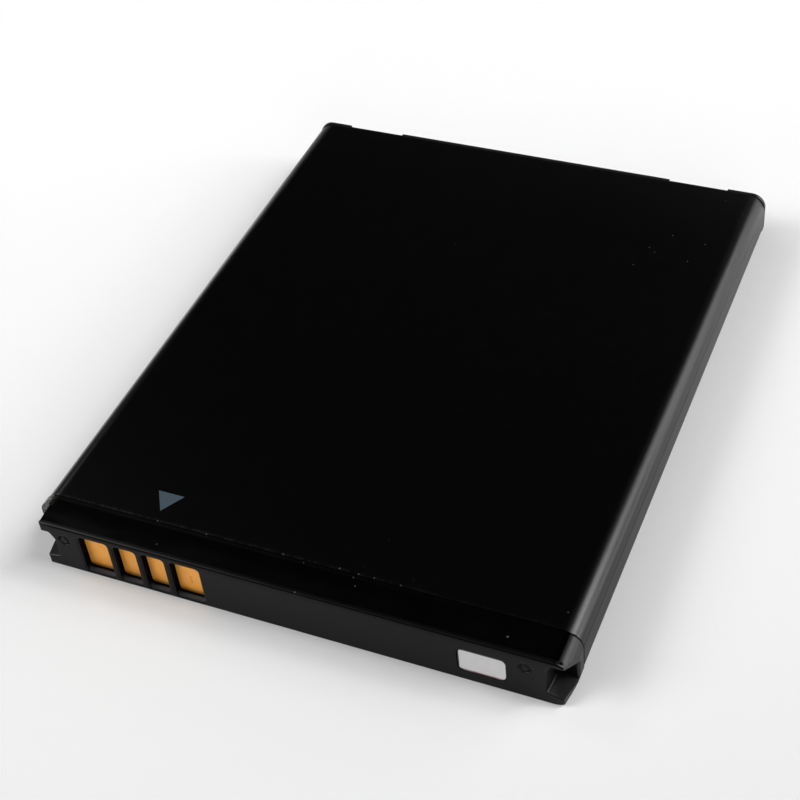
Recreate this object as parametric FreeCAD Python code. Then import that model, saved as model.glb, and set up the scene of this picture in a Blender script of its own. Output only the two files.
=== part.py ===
import FreeCAD, Part
import math
import os
from FreeCAD import Vector

# A removable battery pack for a mobile phone, lying on its back, in millimetres.
# X runs across the width, Y along the length with the contacts at -Y, and Z points up.
# The origin is the middle of the underside. Depths are counted from the front face.

# Whole pack
pack_width = 50.0
pack_length = 62.9
pack_thickness = 5.3

# Label film, wrapped round the cell and over the rebates of both caps
film = 0.1
glue_line = 0.02
side_radius = 1.7
seam_gap = 0.04
film_joint = 0.12
film_joint_from_side = 5.0

# Contact-end cap, a moulding
cap_show = 3.4
cap_rebate = 0.9
cap_drop = 0.03
cap_radius = 1.35
cap_front_wall = 1.0
cap_skin = 0.3
cap_end_wall = 0.7
cap_edge_round = 0.15
lip_width = 0.2
lip_slope = 0.3
strip_dish = 0.07

# Notch at each end of the cap, which keys the pack in the phone
notch_depth = 2.35
notch_draft = 0.22
notch_ceiling_fall = 1.5
notch_floor_fall = 0.45
notch_chamfer_width = 0.45
notch_chamfer_height = 0.7
notch_corner = 0.2
left_notch_width = 2.7
left_notch_floor = 1.27
left_notch_flange = 0.98
right_notch_width = 2.05
right_notch_floor = 1.37
right_notch_flange = 0.5
right_notch_edge_round = 0.3

# Corner of the cap cut back in plan at each end, from the front face to the back of the notch
left_cut_front = 1.45
left_cut_back_low = 0.75
left_cut_back_high = 1.35
right_cut_front = 0.55
right_cut_back_low = 0.0
right_cut_back_high = 0.0
cut_return = 0.1

# Contact windows and the contacts behind them
window_from_left = 5.25
window_widths = (2.9, 2.2, 2.2, 2.85)
window_mullion = 0.57
window_bottom_rail = 0.33
window_top_rail = 0.62
window_corner = 0.35
window_flare = 0.15
flare_steps = 5
pad_recess = 0.73
pad_clearance = 0.05

# Moisture sticker and its recess
sticker_from_right = 7.48
sticker_below_middle = 0.09
sticker_width = 4.1
sticker_height = 2.62
sticker_corner = 0.6
sticker_thickness = 0.1
sticker_margin = 0.09
sticker_recess = 0.14

# Ejector marks on the front face
mark_from_side = 3.75
mark_above_middle = 1.13
mark_radius = 0.58
mark_centre_radius = 0.3
mark_depth = 0.12

# Far-end cap
rim_show = 0.42
rim_radius = 1.45
rear_rebate = 0.6
left_recess_from_side = 3.7
right_recess_from_side = 3.95
recess_width = 6.15
recess_depth = 0.29
rim_edge_round = 0.05

# Sealed cell and what is on its lid
tape = 0.1
rear_tape_margin = 3.4
can_bottom_round = 0.5
can_lid_round = 0.12
gasket_width = 5.4
gasket_height = 3.2
gasket_corner = 0.8
gasket_plate = 0.3
collar_radius = 1.1
collar_length = 0.8
rivet_width = 4.2
rivet_height = 2.2
rivet_corner = 0.5
rivet_head = 0.35
rivet_shank = 0.6
plug_from_terminal = 7.5
plug_radius = 0.75
plug_length = 0.5
terminal_from_end = 5.75
terminal_width = 4.6
terminal_height = 3.0
terminal_corner = 0.3
terminal_thickness = 0.3
insulator = 0.12
insulator_margin = 0.2
insulator_corner = 0.4
press_clearance = 0.02

# Protection board and what is soldered on it
board_thickness = 0.6
board_gap = 0.05
board_clearance = 0.08
board_corner = 0.4
ic_from_middle = 3.2
ic_width = 2.9
ic_body = 1.6
ic_rise = 1.0
ic_lead_reach = 0.55
ic_lead_width = 0.35
ic_lead_pitch = 0.95
ic_lead_thickness = 0.12
mosfet_from_middle = -1.8
mosfet_side = 3.0
mosfet_rise = 0.8
chip_edge = 0.1
resistor_rise = 0.45
capacitor_rise = 0.8
small_length = 1.6
small_width = 0.8
small_end = 0.3
small_end_proud = 0.02
small_row = 0.85
left_small_chips = -5.2
right_small_chips = 6.8
end_capacitor_from_end = 3.25

# Strips between the cell and the board, and the thermal fuse between two of them
strip = 0.12
strip_height = 2.4
strip_bend = 0.35
strip_lap = 2.6
strip_run = 1.4
fuse_gap = 2.6
fuse_width = 4.6
fuse_height = 3.0
fuse_thickness = 0.9
fuse_round = 0.2

# Places worked out from the values above
half_width = pack_width / 2
mid_height = pack_thickness / 2
label_front = cap_show + seam_gap
label_rear = pack_length - rim_show - seam_gap
core_inset = film + glue_line
cap_bottom = cap_drop
cap_top = pack_thickness - cap_drop
lid_depth = cap_show + cap_rebate + tape
bottom_depth = pack_length - rim_show - rear_rebate - tape
cavity_left = -half_width + left_notch_width + cap_end_wall
cavity_right = half_width - right_notch_width - cap_end_wall
cavity_middle = (cavity_left + cavity_right) / 2
cavity_width = cavity_right - cavity_left
cavity_height = cap_top - cap_bottom - 2 * cap_skin
left_notch_ceiling = pack_thickness - left_notch_flange
right_notch_ceiling = pack_thickness - right_notch_flange
window_height = cap_top - cap_bottom - window_bottom_rail - window_top_rail
window_middle = cap_bottom + window_bottom_rail + window_height / 2
sticker_x = half_width - sticker_from_right
sticker_z = mid_height - sticker_below_middle
mark_z = mid_height + mark_above_middle
board_front = cap_front_wall + board_gap
board_rear = board_front + board_thickness
pad_thickness = board_front - pad_recess
terminal_x = cavity_right - terminal_from_end
plug_x = terminal_x - plug_from_terminal
end_capacitor_x = cavity_right - end_capacitor_from_end
insulator_face = lid_depth - insulator
rivet_face = lid_depth - gasket_plate - rivet_head
terminal_face = lid_depth - terminal_thickness

# Overrun of a cutting shape past what it cuts, and how near counts as the same depth
beyond = 1.0
same_depth = 1e-4

# How far the cut that rounds a notch's rear edge stays inside the notch's floor and ceiling
edge_inset = 0.05


def at(depth):
    """Y of a place that lies at this depth behind the front face."""
    return depth - pack_length / 2


def rounded_outline(corners, depth):
    """Closed outline across the pack. Each corner is (x, z, radius)."""
    y = at(depth)
    points = [Vector(x, y, z) for x, z, radius in corners]
    ends = []
    for number, point in enumerate(points):
        radius = corners[number][2]
        to_last = (points[number - 1] - point).normalize()
        to_next = (points[(number + 1) % len(points)] - point).normalize()
        half_angle = to_last.getAngle(to_next) / 2
        bisector = (to_last + to_next).normalize()
        reach = radius / math.tan(half_angle)
        middle = point + bisector * (radius / math.sin(half_angle) - radius)
        ends.append((point + to_last * reach, middle, point + to_next * reach))
    edges = []
    for number, (start, middle, finish) in enumerate(ends):
        if corners[number][2] > 0:
            edges.append(Part.Arc(start, middle, finish).toShape())
        following = ends[(number + 1) % len(ends)][0]
        edges.append(Part.LineSegment(finish, following).toShape())
    return Part.Wire(edges)


def rounded_rectangle(x, z, width, height, radius, depth):
    """Outline of a rectangle centred on (x, z) with rounded corners."""
    left, right = x - width / 2, x + width / 2
    low, high = z - height / 2, z + height / 2
    places = ((left, low), (right, low), (right, high), (left, high))
    return rounded_outline([(x, z, radius) for x, z in places], depth)


def plate(x, z, width, height, radius, depth, thickness):
    """Flat plate across the pack, from this depth backwards."""
    outline = rounded_rectangle(x, z, width, height, radius, depth)
    return Part.Face(outline).extrude(Vector(0, thickness, 0))


def block(left, right, depth, end_depth, low, high):
    """Plain box between two sides, two depths and two heights."""
    corner = Vector(left, at(depth), low)
    return Part.makeBox(right - left, end_depth - depth, high - low, corner)


def disc(x, z, radius, depth, thickness):
    """Round bar along the length, from this depth backwards."""
    return Part.makeCylinder(radius, thickness, Vector(x, at(depth), z), Vector(0, 1, 0))


def flared(x, z, width, height, radius, depth, flare):
    """Opening that widens towards the front face like a rounded edge."""
    outlines = []
    for step in range(flare_steps + 1):
        turn = math.pi / 2 * step / flare_steps
        grow = flare * (1 - math.sin(turn))
        back = flare * (1 - math.cos(turn))
        wide, high = width + 2 * grow, height + 2 * grow
        outlines.append(rounded_rectangle(x, z, wide, high, radius + grow, back))
    mouth = Part.makeLoft(outlines, True, True)
    throat = plate(x, z, width, height, radius, flare, depth - flare)
    return mouth.fuse(throat)


def core_section(depth, length):
    """Length of the section that fits inside the label."""
    width = pack_width - 2 * core_inset
    height = pack_thickness - 2 * core_inset
    return plate(0, mid_height, width, height, side_radius - core_inset, depth, length)


def cap_section(radius, depth, length):
    """Length of the section that a cap shows beyond the label."""
    return plate(0, mid_height, pack_width, cap_top - cap_bottom, radius, depth, length)


def edges_at_depth(shape, depth):
    """Edges that lie wholly at one depth."""
    chosen = []
    for edge in shape.Edges:
        box = edge.BoundBox
        if abs(box.YMin - at(depth)) < same_depth and abs(box.YMax - at(depth)) < same_depth:
            chosen.append(edge)
    return chosen


def window_places():
    """Middle and width of each contact window, from left to right."""
    places = []
    left = -half_width + window_from_left
    for width in window_widths:
        places.append((left + width / 2, width))
        left += width + window_mullion
    return places


def label_wrap():
    length = label_rear - label_front
    outside = plate(0, mid_height, pack_width, pack_thickness, side_radius, label_front, length)
    width = pack_width - 2 * film
    height = pack_thickness - 2 * film
    start, finish = label_front - beyond, label_rear + beyond
    inside = plate(0, mid_height, width, height, side_radius - film, start, finish - start)
    joint_left = -half_width + film_joint_from_side
    joint = block(joint_left, joint_left + film_joint, start, finish, -beyond, mid_height)
    return outside.cut(inside).cut(joint)


def notch_outline(side, width, floor, ceiling, depth):
    """Outline of a notch at one depth. Its wall leans out and its ceiling falls towards the back."""
    share = depth / notch_depth
    wall = half_width - width + notch_draft * share
    outer = half_width + beyond
    roof = ceiling - notch_ceiling_fall * share
    slope = notch_floor_fall * (outer - wall) / width
    corners = [
        (side * wall, floor, notch_corner),
        (side * wall, roof - notch_chamfer_height, notch_corner),
        (side * (wall + notch_chamfer_width), roof, notch_corner),
        (side * outer, roof, 0),
        (side * outer, floor - slope, 0),
    ]
    return rounded_outline(corners, depth)


def notch(side, width, floor, ceiling):
    """Wedge cut from the front and one side of the cap."""
    front = notch_outline(side, width, floor, ceiling, -beyond)
    back = notch_outline(side, width, floor, ceiling, notch_depth)
    return Part.makeLoft([front, back], True, True)


def notch_edge(side, floor, ceiling, radius):
    """Cut that rounds the upright edge where the back of a notch meets the side of the cap."""
    inner = half_width - radius
    finish = notch_depth + radius
    low = floor - notch_floor_fall + edge_inset
    high = ceiling - notch_ceiling_fall - edge_inset
    left, right = sorted((side * inner, side * (half_width + beyond)))
    corner = block(left, right, notch_depth - edge_inset, finish, low, high)
    kept = Part.makeCylinder(radius, high - low, Vector(side * inner, at(finish), low))
    return corner.cut(kept)


def corner_cut_outline(side, front, back, height):
    """Plan outline, at one height, of what is taken off a front corner of the cap."""
    outer = side * (half_width + beyond)
    finish = notch_depth + cut_return
    slope = (front - back) / notch_depth
    points = [
        (side * (half_width - front - slope * beyond), -beyond),
        (side * (half_width - back), notch_depth),
    ]
    if back > 0:
        points.append((side * half_width, finish))
    points += [(outer, finish), (outer, -beyond)]
    corners = [Vector(x, at(depth), height) for x, depth in points]
    return Part.makePolygon(corners + corners[:1])


def corner_cut(side, front, back_low, back_high):
    """Corner taken off the cap over its whole height. It may lean between its underside and its top."""
    low = corner_cut_outline(side, front, back_low, cap_bottom - beyond)
    high = corner_cut_outline(side, front, back_high, cap_top + beyond)
    return Part.makeLoft([low, high], True, True)


def cap_outline(depth, dish):
    """Outline of the cap at one depth, with its top lowered by the dish."""
    height = cap_top - cap_bottom - dish
    return rounded_rectangle(0, mid_height - dish / 2, pack_width, height, cap_radius, depth)


def dished_section():
    """Full section of the cap. Behind a lip along the front edge its whole top is dished."""
    dish_start = lip_width + lip_slope
    lip = cap_section(cap_radius, 0, lip_width)
    slope = Part.makeLoft([cap_outline(lip_width, 0), cap_outline(dish_start, strip_dish)], True, True)
    strip = Part.Face(cap_outline(dish_start, strip_dish)).extrude(Vector(0, cap_show - dish_start, 0))
    return lip.fuse([slope, strip])


def contact_window(x, width):
    """Cut from the front face through the wall to the board."""
    through = cap_front_wall + board_gap
    return flared(x, window_middle, width, window_height, window_corner, through, window_flare)


def ejector_mark(x):
    """Ring-shaped groove left by a moulding pin."""
    ring = disc(x, mark_z, mark_radius, -beyond, beyond + mark_depth)
    centre = disc(x, mark_z, mark_centre_radius, -beyond, beyond + mark_depth)
    return ring.cut(centre)


def front_cap():
    body = dished_section().fuse(core_section(cap_show, cap_rebate))
    body = body.cut(corner_cut(-1, left_cut_front, left_cut_back_low, left_cut_back_high))
    body = body.cut(corner_cut(1, right_cut_front, right_cut_back_low, right_cut_back_high))
    body = body.cut(notch(-1, left_notch_width, left_notch_floor, left_notch_ceiling))
    body = body.cut(notch(1, right_notch_width, right_notch_floor, right_notch_ceiling))
    body = body.cut(notch_edge(1, right_notch_floor, right_notch_ceiling, right_notch_edge_round))
    body = body.removeSplitter()
    body = body.makeFillet(cap_edge_round, edges_at_depth(body, 0))
    low, high = cap_bottom + cap_skin, cap_top - cap_skin
    body = body.cut(block(cavity_left, cavity_right, cap_front_wall, lid_depth, low, high))
    for x, width in window_places():
        body = body.cut(contact_window(x, width))
    width = sticker_width + 2 * sticker_margin
    height = sticker_height + 2 * sticker_margin
    corner = sticker_corner + sticker_margin
    body = body.cut(plate(sticker_x, sticker_z, width, height, corner, -beyond, beyond + sticker_recess))
    for x in (mark_from_side - half_width, half_width - mark_from_side):
        body = body.cut(ejector_mark(x))
    return body.removeSplitter()


def moisture_sticker():
    face = sticker_recess - sticker_thickness
    size = (sticker_width, sticker_height, sticker_corner)
    return plate(sticker_x, sticker_z, *size, face, sticker_thickness)


def contact_pad(x, width):
    room = 2 * pad_clearance
    corner = window_corner - pad_clearance
    size = (width - room, window_height - room, corner)
    return plate(x, window_middle, *size, pad_recess, pad_thickness)


def pcm_board():
    width = cavity_width - 2 * board_clearance
    height = cavity_height - 2 * board_clearance
    return plate(cavity_middle, mid_height, width, height, board_corner, board_front, board_thickness)


def chip_body(x, z, width, height, rise):
    """Moulded body of a chip on the rear face of the board."""
    top = board_rear + rise
    body = block(x - width / 2, x + width / 2, board_rear, top, z - height / 2, z + height / 2)
    return body.makeChamfer(chip_edge, edges_at_depth(body, top))


def protection_ic():
    body = chip_body(ic_from_middle, mid_height, ic_width, ic_body, ic_rise)
    knee = board_rear + ic_rise / 2
    for row in (-1, 0, 1):
        left = ic_from_middle + row * ic_lead_pitch - ic_lead_width / 2
        right = left + ic_lead_width
        for side in (-1, 1):
            root = mid_height + side * ic_body / 2
            tip = root + side * ic_lead_reach
            bend = root + side * ic_lead_reach / 2
            arm = block(left, right, knee - ic_lead_thickness, knee, min(root, bend), max(root, bend))
            inner = bend - side * ic_lead_thickness
            leg = block(left, right, board_rear, knee, min(inner, bend), max(inner, bend))
            low, high = sorted((bend, tip))
            foot = block(left, right, board_rear, board_rear + ic_lead_thickness, low, high)
            body = body.fuse([arm, leg, foot])
    return body.removeSplitter()


def mosfet():
    return chip_body(mosfet_from_middle, mid_height, mosfet_side, mosfet_side, mosfet_rise)


def small_chip(x, z, rise):
    """Resistor or capacitor with a metal cap at each end."""
    proud = small_end_proud
    half = small_length / 2
    low, high = z - small_width / 2, z + small_width / 2
    top = board_rear + rise
    body = block(x - half, x + half, board_rear + proud, top, low, high)
    for left in (x - half, x + half - small_end):
        end = block(left, left + small_end, board_rear, top + proud, low - proud, high + proud)
        body = body.fuse(end)
    return body.removeSplitter()


def board_resistors():
    low, high = mid_height - small_row, mid_height + small_row
    places = ((left_small_chips, low), (left_small_chips, high), (right_small_chips, high))
    return Part.makeCompound([small_chip(x, z, resistor_rise) for x, z in places])


def board_capacitors():
    places = ((right_small_chips, mid_height - small_row), (end_capacitor_x, mid_height))
    return Part.makeCompound([small_chip(x, z, capacitor_rise) for x, z in places])


def pocket(x, radius, depth):
    """Clearance hole in the lid for a round piece that goes this deep."""
    return disc(x, mid_height, radius + press_clearance, lid_depth, depth + press_clearance)


def cell_can():
    body = core_section(lid_depth, bottom_depth - lid_depth)
    body = body.makeFillet(can_bottom_round, edges_at_depth(body, bottom_depth))
    body = body.makeFillet(can_lid_round, edges_at_depth(body, lid_depth))
    return body.cut(pocket(0, collar_radius, collar_length)).cut(pocket(plug_x, plug_radius, plug_length))


def terminal_gasket():
    depth = lid_depth - gasket_plate
    flange = plate(0, mid_height, gasket_width, gasket_height, gasket_corner, depth, gasket_plate)
    collar = disc(0, mid_height, collar_radius, depth, gasket_plate + collar_length)
    hole = disc(0, mid_height, rivet_shank + press_clearance, depth, gasket_plate + collar_length)
    return flange.fuse(collar).cut(hole).removeSplitter()


def terminal_rivet():
    head = plate(0, mid_height, rivet_width, rivet_height, rivet_corner, rivet_face, rivet_head)
    shank = disc(0, mid_height, rivet_shank, rivet_face, rivet_head + gasket_plate + collar_length)
    return head.fuse(shank).removeSplitter()


def filling_plug():
    return disc(plug_x, mid_height, plug_radius, lid_depth, plug_length)


def positive_pad():
    size = (terminal_width, terminal_height, terminal_corner)
    return plate(terminal_x, mid_height, *size, terminal_face, terminal_thickness)


def insulator_opening(x, width, height, corner):
    """Cut-out in the insulator, clear of what stands in it."""
    room = 2 * insulator_margin
    size = (width + room, height + room, corner + insulator_margin)
    return plate(x, mid_height, *size, insulator_face, insulator)


def lid_insulator():
    width = cavity_width - 2 * insulator_margin
    height = cavity_height - 2 * insulator_margin
    sheet = plate(cavity_middle, mid_height, width, height, insulator_corner, insulator_face, insulator)
    around_gasket = insulator_opening(0, gasket_width, gasket_height, gasket_corner)
    around_pad = insulator_opening(terminal_x, terminal_width, terminal_height, terminal_corner)
    return sheet.cut(around_gasket).cut(around_pad)


def thermal_fuse():
    right = -rivet_width / 2 - fuse_gap
    face = insulator_face - fuse_thickness
    low, high = mid_height - fuse_height / 2, mid_height + fuse_height / 2
    body = block(right - fuse_width, right, face, insulator_face, low, high)
    return body.makeFillet(fuse_round, edges_at_depth(body, face))


def flat_strip(left, right, depth):
    """Straight strip whose rear face is at this depth."""
    low, high = mid_height - strip_height / 2, mid_height + strip_height / 2
    return block(left, right, depth - strip, depth, low, high)


def folded_strip(start, direction, rear_depth):
    """Strip that laps a terminal, folds towards the board and laps that. Seen in plan, it has two bends."""
    near = rear_depth - strip / 2
    far = board_rear + strip / 2
    xs = [start, start + direction * strip_lap, start + direction * (strip_lap + strip_run)]
    xs.append(xs[2] + direction * strip_lap)
    points = [Vector(x, at(depth), mid_height) for x, depth in zip(xs, (near, near, far, far))]
    edges = []
    cursor = points[0]
    for number in (1, 2):
        point = points[number]
        to_last = (points[number - 1] - point).normalize()
        to_next = (points[number + 1] - point).normalize()
        half_angle = to_last.getAngle(to_next) / 2
        reach = strip_bend / math.tan(half_angle)
        bisector = (to_last + to_next).normalize()
        middle = point + bisector * (strip_bend / math.sin(half_angle) - strip_bend)
        edges.append(Part.LineSegment(cursor, point + to_last * reach).toShape())
        edges.append(Part.Arc(point + to_last * reach, middle, point + to_next * reach).toShape())
        cursor = point + to_next * reach
    edges.append(Part.LineSegment(cursor, points[3]).toShape())
    x = points[0].x
    y = points[0].y
    low = mid_height - strip_height / 2
    high = mid_height + strip_height / 2
    section = [
        Vector(x, y - strip / 2, low),
        Vector(x, y + strip / 2, low),
        Vector(x, y + strip / 2, high),
        Vector(x, y - strip / 2, high),
    ]
    outline = Part.makePolygon(section + section[:1])
    return Part.Wire(edges).makePipeShell([outline], True, False)


def negative_tab():
    return flat_strip(-rivet_width / 2 - fuse_gap, rivet_width / 2, rivet_face)


def fuse_tab():
    start = -rivet_width / 2 - fuse_gap - fuse_width
    return folded_strip(start, -1, rivet_face)


def positive_tab():
    start = terminal_x + terminal_width / 2
    return folded_strip(start, -1, terminal_face)


def front_tapes():
    """Adhesive on the lid behind the solid ends of the cap."""
    low, high = side_radius, pack_thickness - side_radius
    edge = half_width - core_inset
    left = block(cap_skin - edge, cavity_left - cap_skin, lid_depth - tape, lid_depth, low, high)
    right = block(cavity_right + cap_skin, edge - cap_skin, lid_depth - tape, lid_depth, low, high)
    return Part.makeCompound([left, right])


def rear_tape():
    width = pack_width - 2 * rear_tape_margin
    height = pack_thickness - 2 * side_radius
    return plate(0, mid_height, width, height, tape, bottom_depth, tape)


def rear_cap():
    rim_depth = pack_length - rim_show
    rim = cap_section(rim_radius, rim_depth, rim_show)
    rim = rim.makeFillet(rim_edge_round, edges_at_depth(rim, pack_length))
    body = rim.fuse(core_section(rim_depth - rear_rebate, rear_rebate))
    for left in (left_recess_from_side - half_width, half_width - right_recess_from_side - recess_width):
        right = left + recess_width
        depth = pack_length - recess_depth
        body = body.cut(block(left, right, depth, pack_length + beyond, -beyond, pack_thickness + beyond))
    return body.removeSplitter()


def build():
    nodes = {
        "label_wrap": label_wrap(),
        "front_cap": front_cap(),
        "moisture_sticker": moisture_sticker(),
        "pcm_board": pcm_board(),
        "protection_ic": protection_ic(),
        "mosfet": mosfet(),
        "board_resistors": board_resistors(),
        "board_capacitors": board_capacitors(),
        "cell_can": cell_can(),
        "terminal_gasket": terminal_gasket(),
        "terminal_rivet": terminal_rivet(),
        "filling_plug": filling_plug(),
        "positive_pad": positive_pad(),
        "lid_insulator": lid_insulator(),
        "thermal_fuse": thermal_fuse(),
        "negative_tab": negative_tab(),
        "fuse_tab": fuse_tab(),
        "positive_tab": positive_tab(),
        "front_tape": front_tapes(),
        "rear_tape": rear_tape(),
        "rear_cap": rear_cap(),
    }
    for number, (x, width) in enumerate(window_places(), start=1):
        nodes[f"contact_pad_{number}"] = contact_pad(x, width)
    return nodes


os.makedirs("parts", exist_ok=True)
for name, shape in build().items():
    shape.exportStep(f"parts/{name}.step")
    print(name, len(shape.Solids), round(shape.Volume, 3), shape.isValid())
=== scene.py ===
import math

import bmesh
import bpy
from mathutils import Matrix, Vector


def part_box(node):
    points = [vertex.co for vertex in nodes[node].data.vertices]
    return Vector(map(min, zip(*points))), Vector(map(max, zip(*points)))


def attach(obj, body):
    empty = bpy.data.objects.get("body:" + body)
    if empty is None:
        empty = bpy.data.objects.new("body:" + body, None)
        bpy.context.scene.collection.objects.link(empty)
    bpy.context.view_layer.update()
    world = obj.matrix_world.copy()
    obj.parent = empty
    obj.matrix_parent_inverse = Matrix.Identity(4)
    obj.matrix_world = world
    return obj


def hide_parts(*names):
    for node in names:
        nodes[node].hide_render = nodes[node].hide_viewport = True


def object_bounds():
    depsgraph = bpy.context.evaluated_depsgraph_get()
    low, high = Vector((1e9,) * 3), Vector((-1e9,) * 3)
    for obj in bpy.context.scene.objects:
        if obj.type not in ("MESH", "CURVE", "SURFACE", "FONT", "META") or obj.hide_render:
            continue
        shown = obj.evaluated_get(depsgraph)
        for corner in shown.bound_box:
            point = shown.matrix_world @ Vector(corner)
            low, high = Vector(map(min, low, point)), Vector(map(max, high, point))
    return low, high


bl_info = {
    "name": "Phone battery pack",
    "version": (1, 0, 0),
    "blender": (4, 5, 0),
    "location": "View3D > Sidebar > Battery pack",
    "description": "Makes the finishes and the stage of a removable phone battery pack",
    "category": "Object",
}

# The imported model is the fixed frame. Everything below is in metres, in its axes:
# X across the pack, Y along it away from the contacts, Z up, from the middle of the underside.
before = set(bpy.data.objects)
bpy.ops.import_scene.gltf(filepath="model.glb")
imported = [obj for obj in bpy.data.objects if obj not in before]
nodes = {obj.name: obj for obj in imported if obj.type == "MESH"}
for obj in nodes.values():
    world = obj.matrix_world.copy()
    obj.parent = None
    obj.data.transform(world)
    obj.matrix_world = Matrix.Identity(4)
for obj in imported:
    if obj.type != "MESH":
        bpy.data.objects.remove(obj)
cad_low, cad_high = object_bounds()

MM = 0.001
FRONT = cad_low.y
RIGHT = cad_high.x
LEFT = cad_low.x
TOP = cad_high.z
label_low, label_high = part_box("label_wrap")
CONTACTS = [f"contact_pad_{number}" for number in range(1, 5)]

# Single specks of dust and lint: x, depth behind the front face, z and radius, in millimetres
LABEL_DUST = (
    (-1.4, 3.52, 5.3, 0.08), (3.76, 3.62, 5.3, 0.09), (5.53, 3.54, 5.3, 0.08), (6.91, 3.58, 5.3, 0.07),
    (9.3, 3.54, 5.3, 0.07), (-13.51, 3.5, 5.3, 0.08), (-8.71, 3.48, 5.3, 0.08), (23.1, 5.24, 5.3, 0.07),
    (21.35, 60.85, 5.3, 0.06), (17.8, 53.91, 5.3, 0.07), (16.12, 51.43, 5.3, 0.06), (16.79, 50.85, 5.3, 0.06),
    (21.21, 53.43, 5.3, 0.07), (15.37, 48.44, 5.3, 0.05), (20.26, 50.41, 5.3, 0.06), (23.3, 57.99, 5.3, 0.05),
    (23.49, 59.15, 5.3, 0.05),
)
CAP_DUST = (
    (19.34, 1.47, 5.2, 0.11), (5.21, 3.15, 5.2, 0.08), (5.73, 2.35, 5.2, 0.07), (1.26, 0.13, 5.26, 0.07),
    (-12.34, 1.18, 5.2, 0.07), (0.58, 3.3, 5.2, 0.06),
)

# Pits of a test probe on the last contact: across from its middle, rise above its foot and radius, in millimetres
PITS = ((0.0, 2.08, 0.11), (0.04, 1.74, 0.09), (0.03, 1.42, 0.11))

# Range of a direction's X, from where a side starts to lose its gloss to where it faces straight to the right
FACES_RIGHT = (0.94, 0.995)

# Tints of single places on the contact cap, the contacts and the indicator, several of them painted shade or painted
# light
# Painted shade in the grooves of the moulding pins' rings and in the gap at the right tip
GROOVE_SHADE_TINT = (0.002, 0.002, 0.002)
# Painted shade under the rounded top front edge and in the seam gap behind the cap
EDGE_SHADE_TINT = (0.0003, 0.0003, 0.0003)
# Painted shade on the window walls, tinted blue against the gold's bounce light
WINDOW_SHADE_TINT = (0.0006, 0.0012, 0.002)
# Painted light on the front of each window's left wall, fading into shade deeper in
CHEEK_LIGHT_TINT = (0.009, 0.009, 0.01)
# Painted shade on the face just left of each contact
VERGE_SHADE_TINT = (0.001, 0.001, 0.001)
NOTCH_TINT = (0.035, 0.024, 0.024)
# Painted light on the sills, tinted blue against the gold's bounce light
SILL_LIGHT_TINT = (0.038, 0.054, 0.072)
BULGE_TINT = (0.16, 0.16, 0.15)
LINT_TINT = (0.25, 0.25, 0.24)
# Painted shade along the foot of each contact
FOOT_SHADE_TINT = (0.06, 0.012, 0.003)
PIT_TINT = (0.35, 0.14, 0.03)
PAPER_SHADOW_TINT = (0.012, 0.012, 0.014)

# Edges that bend more than this stay sharp. Points that are closer than these distances are one.
SHARP_BEND = math.radians(20)
SAME_POINT = 0.00001 * MM
SAME_CORNER = 0.0001 * MM

# Painted light falloff: the table's colour gets lighter along this direction, from the first distance behind the front
# face to the second
TABLE_FALLOFF_WAY = (-0.459, 0.889)
TABLE_NEAR, TABLE_FAR = -35 * MM, 75 * MM

# Soft lamps far away: azimuth from the far side towards the right, elevation and width in degrees, and strength
LAMPS = {
    "left softbox": (-120, 34, 30, 1.434),
    "left key": (-75, 40, 16, 0.221),
    "near softbox, left": (-135, 58, 30, 0.319),
    "near softbox": (180, 58, 30, 0.159),
    "near fill": (150, 12, 30, 0.644),
    "right softbox, low": (75, 20, 16, 0.589),
    "right softbox, middle": (60, 48, 16, 0.597),
    "right softbox, high": (80, 62, 16, 0.665),
    "far softbox, right": (60, 34, 16, 0.33),
    "far softbox, left": (40, 34, 16, 0.184),
    "far wall, right": (45, 20, 16, 0.181),
    "far wall, left": (30, 20, 16, 0.146),
    "far wall, middle": (0, 12, 26, 0.033),
    "skirting, right": (60, 6, 16, 0.164),
    "skirting, middle": (45, 6, 16, 0.142),
    "skirting, left": (30, 6, 16, 0.067),
}


class LabelSettings(bpy.types.PropertyGroup):
    """Film label wrapped round the cell."""

    film: bpy.props.FloatProperty(
        name="Film thickness", description="Thickness of the label film", default=0.1 * MM, unit="LENGTH", precision=5)
    side_radius: bpy.props.FloatProperty(
        name="Side radius", description="Outer radius of the label round each side of the cell",
        default=1.7 * MM, unit="LENGTH", precision=5)
    edge_round: bpy.props.FloatProperty(
        name="Edge round", description="Softening of the film's cut edges", default=0.025 * MM, unit="LENGTH",
        precision=6)
    joint_from_side: bpy.props.FloatProperty(
        name="Joint from side", description="Distance of the film's joint on the underside from the left side",
        default=5.0 * MM, unit="LENGTH", precision=5)
    joint_width: bpy.props.FloatProperty(
        name="Joint width", description="Gap between the film's two ends", default=0.12 * MM, unit="LENGTH",
        precision=5)
    colour: bpy.props.FloatVectorProperty(
        name="Film colour", description="Colour of the printed film", subtype="COLOR", size=3,
        min=0.0, max=1.0, default=(0.0006, 0.00063, 0.00066))
    # Also a painted highlight on the cut edge, stronger towards the left
    cut_edge_and_glint_colour: bpy.props.FloatVectorProperty(
        name="Cut edge colour", description="Colour of the film where it is cut", subtype="COLOR", size=3,
        min=0.0, max=1.0, default=(0.02, 0.02, 0.019))
    dust_colour: bpy.props.FloatVectorProperty(
        name="Dust colour", description="Colour of the specks of dust", subtype="COLOR", size=3,
        min=0.0, max=1.0, default=(0.16, 0.16, 0.15))


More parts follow.
